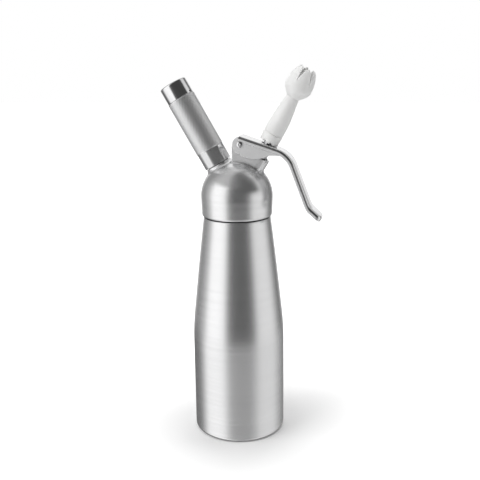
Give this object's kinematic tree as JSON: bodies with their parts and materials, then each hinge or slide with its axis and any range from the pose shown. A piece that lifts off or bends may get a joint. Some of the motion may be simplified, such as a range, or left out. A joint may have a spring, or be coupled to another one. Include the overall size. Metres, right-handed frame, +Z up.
{
  "type": "whipped cream dispenser",
  "caption": "Aluminium bottle with a domed screw-on head, a sprung lever that opens a tilted valve with a decorating tip, and a tilted screw-on gas charger holder.",
  "frame": {"origin": "centre of the bottle's base, on the surface that it stands on", "axes": "+Z up along the bottle's axis, +X towards the lever and the decorating tip, -X towards the charger holder, +Y to the lever's far side"},
  "size_m": [0.1349, 0.078, 0.3125],
  "materials": {
    "brushed_shell": "brushed round the axis",
    "polished_alloy": "polished",
    "satin_alloy": "fine knurl, satin",
    "polished_steel": "turned",
    "charger_steel": "bright",
    "bush_brass": "turned",
    "white_plastic": "moulded, softly glossy",
    "gasket_white": "silicone",
    "rubber_black": "matt",
    "rubber_red": "silicone"
  },
  "bodies": {
    "bottle": {"bottle": "brushed_shell"},
    "gasket": {"head_gasket": "gasket_white"},
    "head": {"head": "brushed_shell", "lever_pin": "polished_steel", "pin_clip": "polished_steel", "valve_bush": "bush_brass", "valve_spring": "polished_steel", "charger_stud": "polished_steel", "piercing_pin": "polished_steel", "inlet_seal": "rubber_red", "check_valve_sleeve": "rubber_black"},
    "lever": {"lever": "polished_alloy"},
    "valve": {"valve_stem": "polished_steel", "stem_o_ring": "rubber_black", "valve_seat_seal": "rubber_red", "seal_retainer": "polished_steel", "spring_cap": "polished_steel", "tip_adapter": "white_plastic"},
    "tip_seal": {"tip_seal": "gasket_white"},
    "tip": {"decorator_tip": "white_plastic"},
    "charger": {"gas_charger": "charger_steel"},
    "holder": {"charger_holder": "satin_alloy", "holder_cap": "polished_alloy"}
  },
  "joints": [
    {"name": "head_lift", "type": "slide", "parent": "bottle", "child": "gasket", "axis": [0, 0, 1], "range_m": [0, 0.01055]},
    {"name": "head_spin", "type": "hinge", "parent": "gasket", "child": "head", "pos_m": [0, 0, 0.19], "axis": [0, 0, 1], "range_deg": [0, 1260]},
    {"name": "lever_press", "type": "hinge", "parent": "head", "child": "lever", "pos_m": [0.00486, 0, 0.2502], "axis": [0, 1, 0], "range_deg": [0, 10], "stiffness_Nm_per_rad": 0.49, "springref_deg": -25.78},
    {"name": "valve_stroke", "type": "slide", "parent": "head", "child": "valve", "axis": [-0.481, 0, -0.8767], "range_m": [0, 0.0024], "deforming": ["valve_spring"]},
    {"name": "tip_lift", "type": "slide", "parent": "valve", "child": "tip_seal", "axis": [0.481, 0, 0.8767], "range_m": [0, 0.0045]},
    {"name": "tip_spin", "type": "hinge", "parent": "tip_seal", "child": "tip", "pos_m": [0.03092, 0, 0.25854], "axis": [0.481, 0, 0.8767], "range_deg": [0, 1085]},
    {"name": "holder_lift", "type": "slide", "parent": "head", "child": "charger", "axis": [-0.4985, 0, 0.8669], "range_m": [0, 0.015]},
    {"name": "holder_spin", "type": "hinge", "parent": "charger", "child": "holder", "pos_m": [0, 0, 0.2062], "axis": [-0.4985, 0, 0.8669], "range_deg": [0, 3605]}
  ],
  "couplings": [
    {"joint": "head_lift", "follows": "head_spin", "m_per_rad": 0.00047746},
    {"joint": "valve_stroke", "follows": "lever_press", "m_per_rad": 0.01345},
    {"joint": "tip_spin", "follows": "tip_lift", "rad_per_m": 4188.8},
    {"joint": "holder_spin", "follows": "holder_lift", "rad_per_m": 4188.8}
  ]
}
